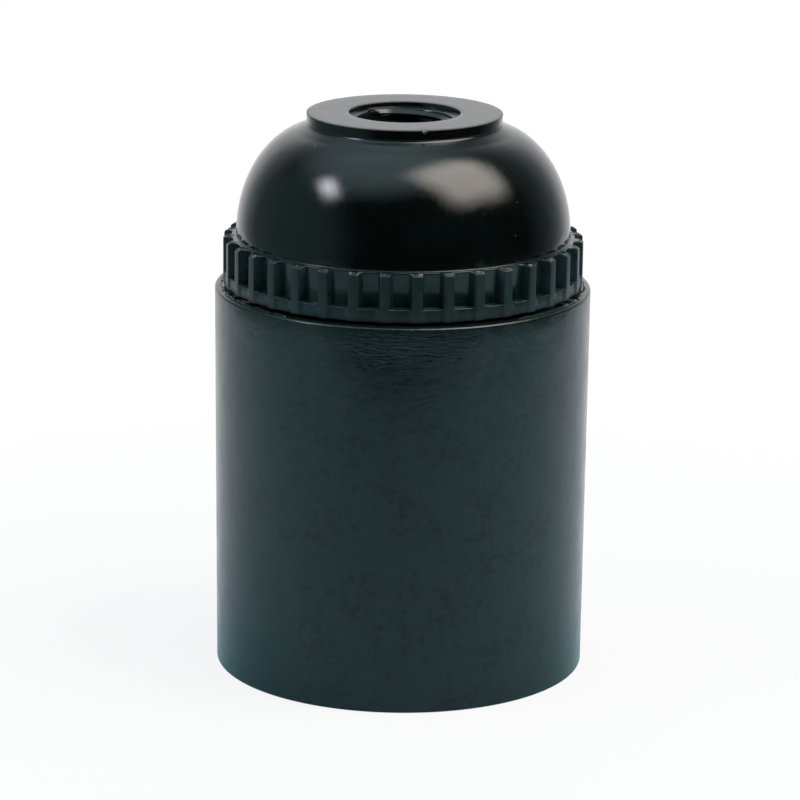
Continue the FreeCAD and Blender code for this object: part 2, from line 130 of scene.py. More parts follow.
# %% [markdown]
# ## The cap, before its ribs
# The cap is one moulding: dome, ground top face, a ring of grip ribs and the band below them. Seen in half
# section it is one closed line, which runs up the outside, over the face, down the threaded entry, under the
# dome's vault and back to the lower edge. The dome is a quarter of an ellipse, so it comes from its centre
# and its two reaches.

# %% The cap's sizes, in millimetres
foot, top = cap_low.z, cap_high.z
window_r, band_r, rib_r, dome_r = 18.05, 18.95, 19.13, 17.75
sill_z, ledge_z = foot + 1.4, foot + 5.1
face_r, face_rise, face_fillet = 10.35, 1.45, 0.45
entry_root_r, entry_crest_r, mouth_r, mouth_h = 5.0, 4.46, 5.87, 0.45
stop_r, stop_h, collar_r = 3.8, 1.0, 7.56
collar_z = top - mouth_h - 7.0
skirt_root_r, skirt_mouth_r, skirt_chamfer = 16.6, 17.0, 0.4
pocket_r, pocket_low_z, pocket_high_z, chamber_r = 15.55, 46.6, 48.75, 14.2
crown_ledge, dome_step, dome_wall = 1.0, 0.25, 1.9
dome_centre = (face_r - crown_ledge, ledge_z + dome_step)
dome_reach, dome_rise = dome_r - dome_centre[0], top - face_rise - dome_centre[1]
print("dome reach", round(dome_reach, 2), "rise", round(dome_rise, 2))

# %% [markdown]
# Between the ribs lie shallow windows. Their floor rises straight from the sill and then leans out by less
# than 0.2 mm up to the ledge, because the mould needs some draft to let go. All corners get the small radius
# that a mould cutter leaves.

# %% The grip's line: foot, band, sill, window floor, ledge and the foot of the dome
foot_round, sill_round, root_round, ledge_round, dome_foot = 0.15, 0.1, 0.1, 0.1, 0.12
lean, rib_slope = 0.18, 0.24
straight_h, bend_h, bend_out, lean_short = 1.6, 1.75, 0.008, 0.02
ledge_r = window_r + lean
grip = [(skirt_mouth_r, foot)]
grip += sweep((band_r - foot_round, foot + foot_round), foot_round, -90, 0, 3)
grip += sweep((band_r - sill_round, sill_z - sill_round), sill_round, 0, 90, 3)
grip += sweep((window_r + root_round, sill_z + root_round), root_round, 270, 180, 2)
grip += [(window_r, sill_z + straight_h), (window_r + bend_out, sill_z + bend_h),
         (ledge_r - lean_short, ledge_z - rib_slope)]
grip += sweep((ledge_r - ledge_round, ledge_z - ledge_round), ledge_round, 0, 90, 3)
grip += sweep((dome_r + dome_foot, ledge_z + dome_foot), dome_foot, 270, 180, 3)
print(len(grip), "rings in the grip")

# %% [markdown]
# Below the ground face the dome does not stop in a corner: it flares up into a short neck, with a fillet
# close under the face. The face's own edges are nearly sharp, since grinding leaves them so.

# %% The whole outer and inner line
flare_out, flare_rise, face_side = 1.25, 0.95, 0.34
face_edge = mouth_edge = 0.07
seam = math.degrees(math.acos((face_r + flare_out - dome_centre[0]) / dome_reach))
dome = sweep(dome_centre, dome_reach, 0, seam, 40, rise=dome_rise)
flare_z = dome[-1][1] + flare_rise
fillet = sweep((face_r + face_fillet, flare_z), face_fillet, 236, 180, 6)
neck = stretch(dome[-1], fillet[0], 4)[1:] + fillet + [(face_r, top - face_side)]
face = sweep((face_r - face_edge, top - face_edge), face_edge, 0, 90, 2)
face += stretch((face_r - face_edge, top), (mouth_r + mouth_edge, top), 6)[1:]
face += sweep((mouth_r + mouth_edge, top - mouth_edge), mouth_edge, 90, 180, 2)
mouth_draft, lead_out, lead_h, thread_drop = 0.06, 0.1, 0.2, 0.8
entry = [(mouth_r - mouth_draft, top - mouth_h), (entry_root_r + lead_out, top - mouth_h - lead_h),
         (entry_root_r, top - thread_drop), (entry_root_r, collar_z + stop_h),
         (stop_r, collar_z + stop_h), (stop_r, collar_z), (collar_r, collar_z)]
vault_reach, vault_rise = dome_reach - dome_wall, dome_rise - dome_wall
springing = math.degrees(math.acos((chamber_r - dome_centre[0]) / vault_reach))
vault = sweep(dome_centre, vault_reach, 90, springing, 12, rise=vault_rise)
inner = [(collar_r, vault[0][1])] + vault
inner += [(chamber_r, pocket_high_z), (pocket_r, pocket_high_z), (pocket_r, pocket_low_z),
          (skirt_root_r, pocket_low_z), (skirt_root_r, foot + skirt_chamfer), (skirt_mouth_r, foot)]
cap = turned("dome_cap_moulding", grip + dome + neck + face + entry + inner)

# %% [markdown]
# ## Grip ribs
# Thirty-six ribs stand round the cap, one every ten degrees, and they run on down over the band. Each is
# 1.6 mm wide at its root and 1.0 mm at its crest. The crest is four neighbouring columns of points. They are
# scaled out from the axis ring by ring, the columns beside them stay, and the faces between become sloping
# sides. The tops of the ribs slope in over the last quarter of a millimetre, so that they do not end in a
# shelf.

# %% Pull the crests out
rib_start, rib_spacing = -90 + 4.4, 10.0
crest_reach, top_drop, top_curve = 1.7, 0.5, 1.4
ring_reach, tiny = 0.006, 1e-6


def radius_height(point):
    """Distance from the axis and height, in millimetres."""
    return math.hypot(point.x, point.y) / MM, point.z / MM


def off_rib(v):
    """Degrees between a point and the middle of the nearest rib."""
    turn = math.degrees(math.atan2(v.co.y, v.co.x)) - rib_start
    return (turn + rib_spacing / 2) % rib_spacing - rib_spacing / 2


def at_ring(v, r, z):
    """True for points on one ring."""
    own_r, own_z = radius_height(v.co)
    return abs(own_z - z) < ring_reach and abs(own_r - r) < ring_reach


def edit(piece):
    """Edit mode on one piece with nothing selected; returns its mesh."""
    empty_hands()
    bpy.context.view_layer.objects.active = piece
    piece.select_set(True)
    bpy.ops.object.mode_set(mode="EDIT")
    bpy.ops.mesh.select_mode(type="VERT")
    bpy.ops.mesh.select_all(action="DESELECT")
    return bmesh.from_edit_mesh(piece.data)


def choose(piece, mesh, wanted):
    """Selects exactly the points that pass a test; returns how many."""
    bpy.ops.mesh.select_all(action="DESELECT")
    count = 0
    for v in mesh.verts:
        if wanted(v):
            v.select_set(True)
            count += 1
    mesh.select_flush(True)
    bmesh.update_edit_mesh(piece.data)
    return count


mesh = edit(cap)
moved = 0
for r, z in grip[2:-4]:     # all but the lower rim and the foot of the dome
    if z < foot + foot_round - tiny:
        crest_r = r + rib_r - band_r
    elif z > ledge_z - rib_slope + tiny:
        crest_r = rib_r - top_drop * ((z - ledge_z + rib_slope) / rib_slope) ** top_curve
    else:
        crest_r = rib_r
    moved += choose(cap, mesh, lambda v: at_ring(v, r, z) and abs(off_rib(v)) < crest_reach)
    bpy.ops.transform.resize(value=(crest_r / r, crest_r / r, 1), center_override=(0, 0, 0))
bpy.ops.mesh.select_all(action="SELECT")
bpy.ops.mesh.remove_doubles(threshold=MERGE)
print(moved, "points pulled out to the crests")

# %% [markdown]
# ## Rib edges and flash
# Phenolic never leaves the mould with a knife edge, so the long edges of the crests get a radius of about a
# tenth of a millimetre. One edge of some crests lies right at the limit of the selection, so rounding leaves
# it out, and it stays sharp. Where the two halves of the mould met, along the tops of the ribs, a little
# resin crept out and was broken off by hand. A small random push on those points gives that ragged line. The
# grinding of the face has turned up one short burr on its front edge, made in the same way.

# %% Bevel the crests
crest_edge, crest_radius = (1.2, 1.6), 0.1      # degrees off the rib's middle, millimetres
bpy.ops.mesh.select_mode(type="EDGE")
bpy.ops.mesh.select_all(action="DESELECT")
mesh = bmesh.from_edit_mesh(cap.data)


def on_crest(v):
    return crest_edge[0] < abs(off_rib(v)) < crest_edge[1] and radius_height(v.co)[0] > ledge_r + 0.2


for e in mesh.edges:
    p, q = e.verts
    upright = foot - 0.01 < p.co.z / MM < ledge_z + 0.01 and abs(off_rib(p) - off_rib(q)) < 0.1
    if upright and on_crest(p) and on_crest(q):
        e.select_set(True)
bmesh.update_edit_mesh(cap.data)
bpy.ops.mesh.bevel(offset=crest_radius * MM, offset_type="OFFSET", segments=3, affect="EDGES",
                   clamp_overlap=True)
bpy.ops.mesh.select_all(action="SELECT")
bpy.ops.mesh.normals_make_consistent(inside=False)
bpy.ops.mesh.select_mode(type="VERT")
print(len(bmesh.from_edit_mesh(cap.data).faces), "faces with the crests bevelled")

# %% Roughen the parting line and raise the burr
flash_push, burr_push, burr_drop, burr_span = 0.09, 0.05, 0.12, (10.5, 13.5)
mesh = bmesh.from_edit_mesh(cap.data)


def rib_lip(v):
    r, z = radius_height(v.co)
    return r > ledge_r + 0.12 and z > ledge_z - ledge_round - 0.01


def burr(v):
    r, z = radius_height(v.co)
    turn = math.degrees(math.atan2(v.co.x, -v.co.y))
    return burr_span[0] < turn < burr_span[1] and r > face_r - 0.1 and z > top - 0.1


count = choose(cap, mesh, rib_lip)
bpy.ops.transform.vertex_random(offset=flash_push * MM, uniform=0.8, normal=0.0, seed=4)
print(count, "points of flash on the rib tops")
count = choose(cap, mesh, burr)
bpy.ops.transform.translate(value=(0, 0, -burr_drop * MM))
bpy.ops.transform.vertex_random(offset=burr_push * MM, uniform=0.9, normal=0.0, seed=9)
print(count, "points of one burr on the face's edge")
bpy.ops.object.mode_set(mode="OBJECT")

# %% [markdown]
# ## Other moulded edges
# The radii of rims are drawn into each half section. The pieces that have none get them from a Bevel
# modifier with an angle limit. Then all is shaded smooth, except across angles that are meant to be edges.

# %% Round or only shade the edges
def soften(piece, width=0.0, segments=3, angle=32.0):
    """Bevels sharp edges by a width in millimetres, where one is given, and shades the rest smooth."""
    empty_hands()
    bpy.context.view_layer.objects.active = piece
    piece.select_set(True)
    if width:
        bevel = piece.modifiers.new("moulded edges", "BEVEL")
        bevel.width, bevel.segments = width * MM, segments
        bevel.limit_method, bevel.angle_limit = "ANGLE", math.radians(angle)
        bpy.ops.object.modifier_apply(modifier=bevel.name)
    bpy.ops.object.shade_smooth_by_angle(angle=math.radians(38))
    print(piece.name, len(piece.data.polygons), "faces")


soften(cap)

# %% [markdown]
# ## Threads
# A thread is one tooth carried round the axis while it climbs. The tooth starts as a plane that stands in
# the half section, its inner edge is scaled down to the crest, and a Screw modifier carries it up by one
# pitch a turn. The tooth is sunk a little into its wall, so no gap shows along its root. A cut thread runs
# out of the metal gradually, so the last part of a turn can be scaled away step by step.

# %% A helical ridge
def tooth(name, sunk, crest_r, base, crest, z):
    """Flat section of a thread, standing on the X axis, as a bare outline."""
    empty_hands()
    middle, depth = (sunk + crest_r) / 2, abs(sunk - crest_r)
    bpy.ops.mesh.primitive_plane_add(size=1, location=(middle * MM, 0, z * MM), rotation=(math.pi / 2, 0, 0))
    ridge = bpy.context.object
    ridge.name = ridge.data.name = name
    ridge.scale = (depth * MM, base * MM, 1)
    bpy.ops.object.transform_apply(location=True, rotation=True, scale=True)
    choose(ridge, edit(ridge), lambda v: abs(v.co.x / MM - crest_r) < 1e-3)
    bpy.ops.transform.resize(value=(1, 1, crest / base), center_override=(crest_r * MM, 0, z * MM))
    bpy.ops.mesh.select_all(action="SELECT")
    bpy.ops.mesh.delete(type="ONLY_FACE")
    bpy.ops.object.mode_set(mode="OBJECT")
    return ridge


def helical_ridge(name, root_r, crest_r, base, crest, pitch, turns, z, start, steps=72, fade_in=0):
    """Ridge whose middle starts at height z and angle start; its last degrees may fade in."""
    sunk = root_r + 0.12 * (1 if root_r > crest_r else -1)
    ridge = tooth(name, sunk, crest_r, base, crest, z)
    climb = ridge.modifiers.new("climb", "SCREW")
    climb.axis, climb.angle, climb.screw_offset = "Z", math.radians(360 * turns), pitch * turns * MM
    climb.steps = climb.render_steps = int(steps * turns)
    climb.use_smooth_shade = True
    bpy.ops.object.modifier_apply(modifier=climb.name)
    bpy.ops.object.mode_set(mode="EDIT")
    bpy.ops.mesh.select_all(action="SELECT")
    bpy.ops.transform.rotate(value=-math.radians(start), orient_axis="Z", center_override=(0, 0, 0))
    bpy.ops.mesh.select_all(action="DESELECT")
    bpy.ops.mesh.select_non_manifold(extend=False, use_wire=False, use_boundary=True)
    bpy.ops.mesh.edge_face_add()
    mesh = bmesh.from_edit_mesh(ridge.data)
    for step in range(int(fade_in * steps / 360)):
        turn = math.radians(start + 360 * turns - 360 * step / steps)
        height, share = z + pitch * turns - pitch * step / steps, step * 360 / steps / fade_in

        def on_step(v):
            own_r, own_z = radius_height(v.co)
            gap = (math.atan2(v.co.y, v.co.x) - turn + math.pi) % (2 * math.pi) - math.pi
            return abs(gap) < 0.01 and abs(own_z - height) < base and abs(own_r - crest_r) < 0.01

        choose(ridge, mesh, on_step)
        size = (sunk + (crest_r - sunk) * share) / crest_r
        bpy.ops.transform.resize(value=(size, size, 1), center_override=(0, 0, 0))
    bpy.ops.mesh.select_all(action="SELECT")
    bpy.ops.mesh.normals_make_consistent(inside=False)
    bpy.ops.object.mode_set(mode="OBJECT")
    bpy.ops.object.shade_smooth_by_angle(angle=math.radians(30))
    first = ridge.data.vertices[0].co
    print(name, "starts at", round(math.degrees(math.atan2(first.y, first.x)), 1), "degrees")
    return ridge


def join_to(main, *others):
    """Joins pieces of one moulding into one object."""
    empty_hands()
    for o in (main, *others):
        o.select_set(True)
    bpy.context.view_layer.objects.active = main
    bpy.ops.object.join()
    return main

# %% [markdown]
# The entry takes a pipe with a fine thread of 1 mm pitch. The cap's skirt and the sleeve's neck share a
# coarse thread of 2.5 mm pitch, with one tooth for both. Two keys inside the cap stand in slots of the
# porcelain and keep it from turning.

# %% The entry's fine thread, the cap's coarse one and the keys
entry_pitch, entry_turns, entry_base, entry_crest = 1.0, 5.4, 0.86, 0.16
entry_top, entry_end, entry_fade = top - mouth_h - 0.5, 140, 45
joint_pitch, joint_base, joint_crest, joint_z = 2.5, 1.1, 0.5, 42.3
cap_crest_r, cap_turns = 15.85, 1.2
key_size, key_y, key_z = (3.0, 2.1, 2.2), 14.7, 48.0
entry_thread = helical_ridge("entry_thread", entry_root_r, entry_crest_r, entry_base, entry_crest, entry_pitch,
                             entry_turns, entry_top - entry_turns, entry_end - 360 * entry_turns,
                             fade_in=entry_fade)
cap_thread = helical_ridge("cap_thread", skirt_root_r, cap_crest_r, joint_base, joint_crest, joint_pitch,
                           cap_turns, joint_z + joint_pitch / 4, -90, steps=96)
keys = []
for side in (1, -1):
    empty_hands()
    bpy.ops.mesh.primitive_cube_add(size=1, location=(0, side * key_y * MM, key_z * MM))
    key = bpy.context.object
    key.name, key.scale = "key", [s * MM for s in key_size]
    bpy.ops.object.transform_apply(location=True, rotation=True, scale=True)
    soften(key, 0.15)
    keys.append(key)
cap = join_to(cap, entry_thread, cap_thread, *keys)

# %% [markdown]
# ## The sleeve
# The sleeve is a plain cylinder with a hair of draft, open below for the lamp, with a threaded neck above
# its shoulder. It is turned in the same way. The wall gets several rings so that its shading stays even over
# its height. On the shoulder lies a ridge of broken flash, except across the front.

# %% The sleeve's line, in millimetres
shoulder_r, foot_r, shoulder_z, neck_z = 20.0, 19.8, 41.4, sleeve_high.z
neck_r, neck_bore_r, edge, shoulder_edge, neck_edge, bore_edge = 15.6, 14.4, 0.22, 0.3, 0.3, 0.2
step_r, slope_z, throat_r, throat_z = 17.3, 38.4, 17.0, 36.6
wall_foot, wall_top = (foot_r, edge), (shoulder_r, shoulder_z - shoulder_edge)
bore_top, bore_foot, rim_inner_r = (17.1, 36.0), (17.2, 0.7), 17.9
flash = [(r, shoulder_z) for r in (19.5, 19.42, 19.3, 19.2)]
line = sweep((foot_r - edge, edge), edge, -90, -15, 5) + stretch(wall_foot, wall_top, 24)
line += sweep((shoulder_r - shoulder_edge, shoulder_z - shoulder_edge), shoulder_edge, 0, 90, 8) + flash
line += [(step_r, shoulder_z), (neck_r, shoulder_z), (neck_r, neck_z - neck_edge), (neck_r - neck_edge, neck_z),
         (neck_bore_r + bore_edge, neck_z), (neck_bore_r, neck_z - bore_edge), (neck_bore_r, slope_z),
         (throat_r, throat_z)]
line += stretch(bore_top, bore_foot, 4) + [bore_foot, (rim_inner_r, 0.0), (foot_r - edge, 0.0)]
sleeve = turned("outer_sleeve_moulding", line)

# %% Raise the flash and add the neck's thread
plain_front, flash_rise = 38, 0.1       # degrees to each side of the front, millimetres


def beside_front(v):
    """True for points well round to either side of the front."""
    return abs(math.degrees(math.atan2(v.co.x, -v.co.y))) > plain_front


mesh = edit(sleeve)
count = choose(sleeve, mesh, lambda v: beside_front(v) and any(at_ring(v, r, z) for r, z in flash[1:3]))
bpy.ops.transform.translate(value=(0, 0, flash_rise * MM))
bpy.ops.transform.vertex_random(offset=flash_push * MM, uniform=1.0, normal=0.0, seed=2)
bpy.ops.object.mode_set(mode="OBJECT")
print(count, "points of flash on the shoulder")
soften(sleeve)
neck_crest_r, neck_turns = 16.35, 1.3
neck_thread = helical_ridge("neck_thread", neck_r, neck_crest_r, joint_base, joint_crest, joint_pitch,
                            neck_turns, joint_z, 0, steps=96)
sleeve = join_to(sleeve, neck_thread)

# %% [markdown]
# ## The centre contact
# The contact is a strip of phosphor bronze that bends when a lamp presses on it: its foot stays riveted
# while its tongue lifts. The strip's construction mesh is copied and merged, and its edges get the small
# radius that a press tool leaves.

# %% Copy, merge and soften the strip
def copy_of(node, name):
    """A merged copy of a CAD node, free of its parent and ready to edit."""
    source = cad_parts[node]
    piece = source.copy()
    piece.data = source.data.copy()
    piece.name = piece.data.name = name
    piece.parent = None
    bpy.context.collection.objects.link(piece)
    piece.matrix_world = source.matrix_world
    empty_hands()
    bpy.context.view_layer.objects.active = piece
    piece.select_set(True)
    bpy.ops.object.mode_set(mode="EDIT")
    bpy.ops.mesh.select_all(action="SELECT")
    bpy.ops.mesh.remove_doubles(threshold=MERGE)
    bpy.ops.mesh.normals_make_consistent(inside=False)
    bpy.ops.object.mode_set(mode="OBJECT")
    return piece


contact = copy_of("centre_contact", "centre_contact_strip")
soften(contact, 0.06, segments=2, angle=40)

# %% [markdown]
# ## Finishes
# Every finish is a small node tree. One function adds a node, sets it and links it, and one turns a written
# colour into the linear values that the renderer works in. Patterns read Object coordinates, so they stay on
# the piece, and their scales are worked out from a size in millimetres.

# %% Colours and nodes
def linear(text):
    """Linear colour from an sRGB hex value."""
    channels = [int(text[i:i + 2], 16) / 255 for i in (1, 3, 5)]
    return [c / 12.92 if c <= 0.04045 else ((c + 0.055) / 1.055) ** 2.4 for c in channels] + [1.0]


def add(tree, kind, inputs=None, **settings):
    """One node: settings are its properties, inputs its sockets, each a value or an output to link."""
    node = tree.nodes.new(kind)
    for key, value in settings.items():
        setattr(node, key, value)
    for key, value in (inputs or {}).items():
        if isinstance(value, bpy.types.NodeSocket):
            tree.links.new(value, node.inputs[key])
        else:
            node.inputs[key].default_value = value
    return node


def per_mm(size):
    """Noise scale that gives features of about this many millimetres."""
    return 1 / (size * MM)

# %% Materials, patterns and bumps
def new_material(name, **surface):
    """A material with its main shader set, ready for patterns."""
    mat = bpy.data.materials.new(name)
    mat.use_nodes = True
    shader = mat.node_tree.nodes["Principled BSDF"]
    for key, value in surface.items():
        shader.inputs[key.replace("_", " ")].default_value = value
    return mat, mat.node_tree, shader


def feed(tree, shader, **patterns):
    """Links patterns to the shader's sockets."""
    for key, output in patterns.items():
        tree.links.new(output, shader.inputs[key.replace("_", " ")])


def on_piece(tree):
    return add(tree, "ShaderNodeTexCoord").outputs["Object"]


def noise(tree, at, size, detail, **more):
    """Noise with features of a size in millimetres."""
    sockets = {"Vector": at, "Scale": per_mm(size), "Detail": detail, **more}
    return add(tree, "ShaderNodeTexNoise", sockets).outputs["Fac"]


def bumps(tree, height, strength, distance, **more):
    """Bumps of a height in millimetres."""
    sockets = {"Height": height, "Strength": strength, "Distance": distance * MM, **more}
    return add(tree, "ShaderNodeBump", sockets).outputs["Normal"]


def ramp(tree, source, stops):
    """Colour ramp with (place, grey level or hex colour) stops."""
    node = add(tree, "ShaderNodeValToRGB", {"Fac": source})
    while len(node.color_ramp.elements) < len(stops):
        node.color_ramp.elements.new(0.5)
    for element, (place, colour) in zip(node.color_ramp.elements, stops):
        element.position = place
        element.color = linear(colour) if isinstance(colour, str) else (colour, colour, colour, 1)
    return node.outputs["Color"]

# %% [markdown]
# ### Polished phenolic
# The dome leaves a chromed mould, so it is near-black and very glossy. Phenolic resin bends light a little
# more than glass does, and a trace of green-blue shows in its depth. Faint waves about 4 mm long soften the
# edge of a reflected window, and very few pale specks of filler dust lie on it.

# %% Polished phenolic
PHENOLIC_IOR = 1.60


def polished_phenolic():
    mat, tree, shader = new_material("polished_phenolic_moulding", IOR=PHENOLIC_IOR, Roughness=0.13)
    at = on_piece(tree)
    body = ramp(tree, noise(tree, at, 5, 3.0), [(0.3, "#040B09"), (0.7, "#07110F")])
    dust = ramp(tree, noise(tree, at, 0.5, 0.0), [(0.865, 0.0), (0.89, 1.0)])
    colour = add(tree, "ShaderNodeMixRGB", {"Fac": dust, "Color1": body, "Color2": linear("#55606A")})
    gloss = ramp(tree, noise(tree, at, 0.6, 2.0), [(0.3, 0.10), (0.75, 0.18)])
    wave = bumps(tree, noise(tree, at, 4, 3.0), 0.5, 0.07)
    feed(tree, shader, Base_Color=colour.outputs["Color"], Roughness=gloss, Normal=wave)
    return mat

# %% [markdown]
# ### Satin phenolic
# The sleeve's mould was only stoned smooth, and the grip's was left duller still, so both scatter more light
# than the dome. The wood flour in the resin makes the tone cloudy, in patches of a few millimetres, and
# leaves fine pits. The entry's bore has the same resin and is smoother; its tones are darker as painted shade
# for the deep hole. One function makes all three finishes from their tones and gloss.

# %% Satin phenolic
def satin_phenolic(name, dark, light, glossy, dull):
    """Satin moulding; returns the material and its last bump, so that a patch of wrinkles can follow."""
    mat, tree, shader = new_material(name, IOR=PHENOLIC_IOR, Roughness=(glossy + dull) / 2)
    at = on_piece(tree)
    cloud, grain = noise(tree, at, 5, 8.0, Roughness=0.75), noise(tree, at, 0.7, 4.0)
    tone = add(tree, "ShaderNodeMath", {0: cloud, 1: grain}, operation="ADD").outputs["Value"]
    gloss = ramp(tree, noise(tree, at, 3, 5.0), [(0.3, glossy), (0.75, dull)])
    skin = bumps(tree, grain, 0.5, 0.035)
    wave = bumps(tree, noise(tree, at, 7, 2.0), 0.5, 0.15, Normal=skin)
    feed(tree, shader, Base_Color=ramp(tree, tone, [(0.8, dark), (1.2, light)]), Roughness=gloss, Normal=wave)
    return mat, wave

# %% [markdown]
# Near the sleeve's shoulder the powder did not flow out fully, which left a patch of fine wrinkles that lie
# across the wall. A ball-shaped gradient, flattened in height, keeps them to that patch.

# %% Wrinkles of unfilled powder
FOLD_FLATNESS = 4.5


def wrinkle(mat, last_bump, centre, wide, tall, depth):
    """Adds flat folds round a centre, all in millimetres."""
    tree, sizes = mat.node_tree, (wide, wide, tall)
    at = on_piece(tree)
    flat = add(tree, "ShaderNodeMapping", {"Vector": at, "Scale": (1.0, 1.0, FOLD_FLATNESS)})
    fold = noise(tree, flat.outputs["Vector"], 1.4, 5.0, Distortion=1.0)
    patch = add(tree, "ShaderNodeMapping", {"Vector": at, "Scale": tuple(1 / (w * MM) for w in sizes),
                                            "Location": tuple(-c / w for c, w in zip(centre, sizes))})
    near = add(tree, "ShaderNodeTexGradient", {"Vector": patch.outputs["Vector"]}, gradient_type="SPHERICAL")
    folds = bumps(tree, fold, near.outputs["Fac"], depth, Normal=last_bump)
    feed(tree, tree.nodes["Principled BSDF"], Normal=folds)

# %% [markdown]
# ### Ground phenolic
# The face round the entry was ground flat after moulding. Grinding breaks the glossy skin and bares the
# filler, so the face is greyer and hazy with fine scratches. Along its edges the filler is torn, and shows
# as a brown line. Where flash has chipped off the rib tops the same filler shows, but paler.

# %% Ground, torn and chipped phenolic
def ground_phenolic(name, dark, light, rough):
    mat, tree, shader = new_material(name, IOR=PHENOLIC_IOR, Roughness=rough)
    at = on_piece(tree)
    drawn = add(tree, "ShaderNodeMapping", {"Vector": at, "Rotation": (0, 0, 0.5), "Scale": (1, 4, 1)})
    lines = noise(tree, drawn.outputs["Vector"], 1.2, 6.0)
    feed(tree, shader, Base_Color=ramp(tree, lines, [(0.3, dark), (0.7, light)]),
         Roughness=ramp(tree, lines, [(0.3, rough * 0.85), (0.7, rough * 1.2)]),
         Normal=bumps(tree, lines, 0.2, 0.01))
    return mat

# %% [markdown]
# ### Metals and porcelain
# The shell is drawn brass with bright nickel on it, the contact is bare phosphor bronze, the plates and
# rivets are bare brass, and the screws and the washer are zinc-plated steel. The insert is white porcelain
# under a clear glaze, so the glaze is a coat over a slightly warm body.

# %% Metals and porcelain
def metal(name, dark, light, rough, size):
    """Bare or plated metal: a cloud between two tones and a roughness that wanders a little."""
    mat, tree, shader = new_material(name, Metallic=1.0, Roughness=rough)
    cloud = noise(tree, on_piece(tree), size, 4.0)
    feed(tree, shader, Base_Color=ramp(tree, cloud, [(0.3, dark), (0.7, light)]),
         Roughness=ramp(tree, cloud, [(0.3, rough * 0.8), (0.7, rough * 1.25)]))
    return mat


def glazed_porcelain():
    mat, tree, shader = new_material("glazed_porcelain", IOR=1.52, Roughness=0.35, Coat_Weight=1.0,
                                     Coat_Roughness=0.06, Subsurface_Weight=0.05, Subsurface_Scale=0.8 * MM)
    at = on_piece(tree)
    feed(tree, shader, Base_Color=ramp(tree, noise(tree, at, 4, 3.0), [(0.3, "#E4E0D6"), (0.7, "#EFECE4")]),
         Normal=bumps(tree, noise(tree, at, 1.5, 1.0), 0.3, 0.05))
    return mat

# %% Make the finishes
polished = polished_phenolic()
satin, satin_bump = satin_phenolic("satin_phenolic_moulding", "#060F10", "#122526", 0.16, 0.27)
wrinkle(satin, satin_bump, centre=(0.3, -20.0, 39.9), wide=9.0, tall=3.4, depth=0.11)
dull, _ = satin_phenolic("dull_phenolic_grip", "#07191C", "#11292C", 0.34, 0.46)
# The bore's tones are darker than the sleeve's, as painted shade for the deep hole.
bore_painted_shade, _ = satin_phenolic("phenolic_bore_painted_shade", "#020A0B", "#061314", 0.14, 0.22)
ground = ground_phenolic("ground_phenolic_face", "#3A4046", "#444B52", 0.28)
torn = ground_phenolic("torn_phenolic_edge", "#3C2E24", "#6B5443", 0.6)
chipped = ground_phenolic("chipped_phenolic_rib", "#34403E", "#77837C", 0.5)
porcelain = glazed_porcelain()
nickel = metal("nickel_plated_brass", "#B7B2A6", "#D2CDC0", 0.18, 3)
bronze = metal("phosphor_bronze_strip", "#B07A48", "#C89060", 0.24, 2)
brass = metal("pressed_brass", "#B08D4A", "#CBA861", 0.26, 2)
zinc = metal("zinc_plated_steel", "#A9ACAE", "#C4C7C8", 0.25, 1)
print(len(bpy.data.materials), "materials")

# %% [markdown]
# The cap needs several finishes on one moulding, so each face is given one by its radius and height. The
# window floors and a narrow strip at the foot of the dome are satin like the sleeve, since a polisher's
# wheel cannot reach into that corner. Chips lie here and there on the rib tops, spread by a sine of the
# angle.

# %% Give every piece its finish
POLISHED, DULL, GROUND, TORN, SATIN, CHIPPED, BORE = range(7)
chip_waves, chip_level, chip_out, chip_up = 131, 0.3, 0.15, 0.12
strip_h, inner_r, inner_top = 0.3, 15.6, top - 1.0


def dress(piece, *materials):
    """Replaces whatever finishes a piece has."""
    piece.data.materials.clear()
    for m in materials:
        piece.data.materials.append(m)


def cap_finish(face):
    """Which finish a face of the cap has."""
    r, z = radius_height(face.center)
    if z > top - face_edge - 0.01:
        return GROUND if face.normal.z > 0.98 else TORN
    on_top = r > ledge_r + chip_out and z > ledge_z - rib_slope + chip_up
    if on_top and math.sin(math.atan2(face.center.y, face.center.x) * chip_waves) > chip_level:
        return CHIPPED
    if sill_z + 0.05 < z < ledge_z + 0.1 and r < window_r + 0.45:
        return SATIN
    # Faces inside the entry get the bore finish, whose darker colour is painted shade.
    if r < mouth_r and z > collar_z:
        return BORE
    if z < ledge_z + 0.02 or (r < inner_r and z < inner_top and face.normal.z < 0.3):
        return DULL
    return SATIN if z < ledge_z + strip_h else POLISHED


dress(cap, polished, dull, ground, torn, satin, chipped, bore_painted_shade)
for f in cap.data.polygons:
    f.material_index = cap_finish(f)
dress(sleeve, satin)
dress(contact, bronze)
finishes = {"porcelain_insert": porcelain, "screw_shell": nickel, "live_terminal_plate": brass,
            "neutral_terminal_plate": brass, "live_clamp_plate": brass, "neutral_clamp_plate": brass,
            "live_terminal_screw": zinc, "neutral_terminal_screw": zinc, "contact_rivet": brass,
            "neutral_shell_rivet": brass, "plain_shell_rivet": brass, "rivet_washer": zinc}
for node, finish in finishes.items():
    dress(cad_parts[node], finish)
print(3 + len(finishes), "pieces dressed")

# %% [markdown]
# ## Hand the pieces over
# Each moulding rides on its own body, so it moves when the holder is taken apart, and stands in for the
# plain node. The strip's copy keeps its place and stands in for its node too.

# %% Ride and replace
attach(cap, "cap")
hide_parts("dome_cap")
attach(sleeve, "sleeve")
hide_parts("outer_sleeve")
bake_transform(contact)
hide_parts("centre_contact")
